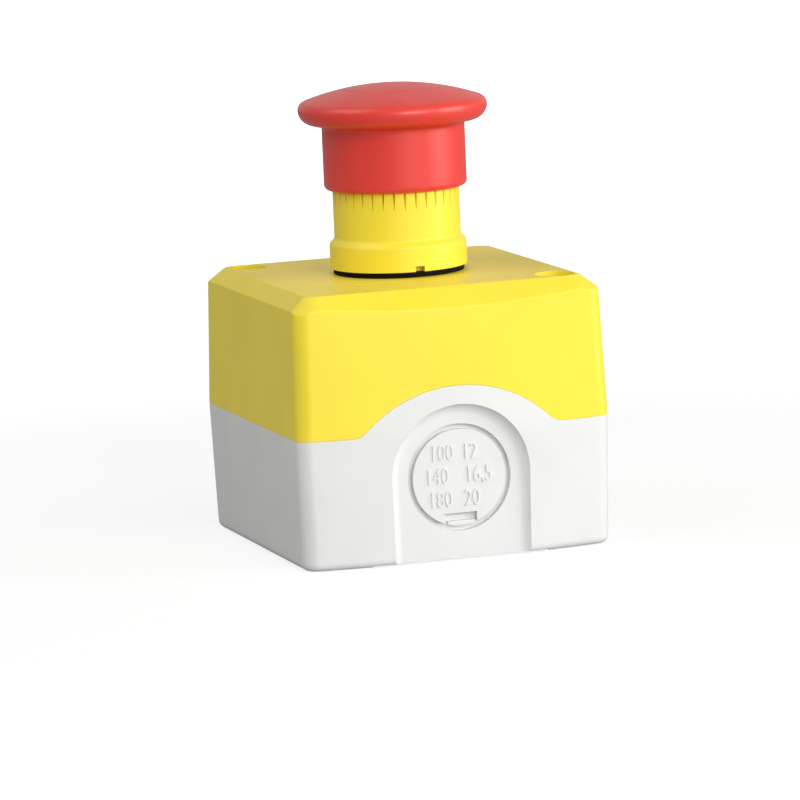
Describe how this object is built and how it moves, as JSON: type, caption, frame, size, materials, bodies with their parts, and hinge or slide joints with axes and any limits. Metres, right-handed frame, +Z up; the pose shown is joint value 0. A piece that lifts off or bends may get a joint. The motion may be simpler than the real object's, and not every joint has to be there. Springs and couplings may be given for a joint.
{
  "type": "emergency stop push button",
  "caption": "Emergency stop push button: turn-to-release mushroom head on a small moulded control box with knock-out cable entries.",
  "frame": {"origin": "middle of the box's underside", "axes": "+Z up along the button's axis, away from the box; -Y towards the front cable entry; X across the box's flat side walls"},
  "size_m": [0.0684, 0.0732, 0.0965],
  "materials": {
    "grey_plastic": "satin moulded, light grey",
    "yellow_plastic": "satin moulded, safety yellow",
    "red_plastic": "satin to gloss moulded, signal red",
    "black_rubber": "matt rubber",
    "black_plastic": "matt moulded",
    "white_plastic": "natural moulded",
    "dark_grey_plastic": "matt moulded",
    "nc_red_plastic": "matt moulded, colour code of a break contact",
    "no_green_plastic": "matt moulded, colour code of a make contact",
    "zinc_steel": "zinc plated",
    "spring_steel": "drawn wire",
    "contact_brass": "stamped strip"
  },
  "bodies": {
    "enclosure": {"base": "grey_plastic", "lid": "yellow_plastic", "lid_seal": "black_rubber", "lid_screws": "zinc_steel", "bezel_body": "yellow_plastic", "head_gasket": "black_rubber", "stem_seal": "black_rubber", "fixing_collar": "dark_grey_plastic", "collar_screws": "zinc_steel", "latch_ring_spring": "spring_steel", "latch_ring_clip": "spring_steel", "main_spring": "spring_steel", "nc_housing": "dark_grey_plastic", "nc_cover": "nc_red_plastic", "nc_return_spring": "spring_steel", "nc_terminals": "contact_brass", "nc_terminal_screws": "zinc_steel", "nc_clamps": "zinc_steel", "no_housing": "dark_grey_plastic", "no_cover": "no_green_plastic", "no_return_spring": "spring_steel", "no_terminals": "contact_brass", "no_terminal_screws": "zinc_steel", "no_clamps": "zinc_steel"},
    "pusher": {"pusher_foot": "black_plastic", "twist_spring": "spring_steel"},
    "head": {"mushroom_cap": "red_plastic", "stem": "white_plastic", "cap_snap_ring": "spring_steel", "stem_clip": "spring_steel"},
    "latch_ring": {"latch_ring": "white_plastic"},
    "latch_ball_1": {"latch_ball_1": "zinc_steel"},
    "latch_ball_2": {"latch_ball_2": "zinc_steel"},
    "latch_ball_3": {"latch_ball_3": "zinc_steel"},
    "nc_plunger": {"nc_plunger": "nc_red_plastic", "nc_contact_spring": "spring_steel"},
    "nc_bridge": {"nc_bridge": "contact_brass"},
    "no_plunger": {"no_plunger": "no_green_plastic", "no_contact_spring": "spring_steel"},
    "no_bridge": {"no_bridge": "contact_brass"}
  },
  "joints": [
    {"name": "head_press", "type": "slide", "parent": "enclosure", "child": "pusher", "axis": [0, 0, -1], "range_m": [0, 0.0043], "stiffness_N_per_m": 2500, "springref_m": -0.006, "deforming": ["main_spring"]},
    {"name": "head_turn", "type": "hinge", "parent": "pusher", "child": "head", "pos_m": [0, 0, 0.0455], "axis": [0, 0, -1], "range_deg": [0, 45], "stiffness_Nm_per_rad": 0.06, "springref_deg": -28.65},
    {"name": "latch_ring_lift", "type": "slide", "parent": "enclosure", "child": "latch_ring", "axis": [0, 0, 1], "range_m": [0, 0.00137], "deforming": ["latch_ring_spring"]},
    {"name": "latch_ball_1_out", "type": "slide", "parent": "enclosure", "child": "latch_ball_1", "axis": [0, -1, 0], "range_m": [0, 0.00137]},
    {"name": "latch_ball_2_out", "type": "slide", "parent": "enclosure", "child": "latch_ball_2", "axis": [0.866, 0.5, 0], "range_m": [0, 0.00137]},
    {"name": "latch_ball_3_out", "type": "slide", "parent": "enclosure", "child": "latch_ball_3", "axis": [-0.866, 0.5, 0], "range_m": [0, 0.00137]},
    {"name": "nc_plunger_slide", "type": "slide", "parent": "enclosure", "child": "nc_plunger", "axis": [0, 0, -1], "range_m": [0, 0.0043], "deforming": ["nc_return_spring"]},
    {"name": "nc_bridge_slide", "type": "slide", "parent": "enclosure", "child": "nc_bridge", "axis": [0, 0, -1], "range_m": [0, 0.0028], "deforming": ["nc_contact_spring"]},
    {"name": "no_plunger_slide", "type": "slide", "parent": "enclosure", "child": "no_plunger", "axis": [0, 0, -1], "range_m": [0, 0.0043], "deforming": ["no_return_spring"]},
    {"name": "no_bridge_slide", "type": "slide", "parent": "enclosure", "child": "no_bridge", "axis": [0, 0, -1], "range_m": [0, 0.0026], "deforming": ["no_contact_spring"]}
  ],
  "couplings": [
    {"joint": "latch_ring_lift", "follows": "head_press", "ratio": 0.31818},
    {"joint": "latch_ball_1_out", "follows": "head_press", "ratio": 0.31818},
    {"joint": "latch_ball_2_out", "follows": "head_press", "ratio": 0.31818},
    {"joint": "latch_ball_3_out", "follows": "head_press", "ratio": 0.31818},
    {"joint": "nc_plunger_slide", "follows": "head_press", "ratio": 1},
    {"joint": "nc_bridge_slide", "follows": "head_press", "ratio": 0.65116},
    {"joint": "no_plunger_slide", "follows": "head_press", "ratio": 1},
    {"joint": "no_bridge_slide", "follows": "head_press", "ratio": 0.60465}
  ]
}
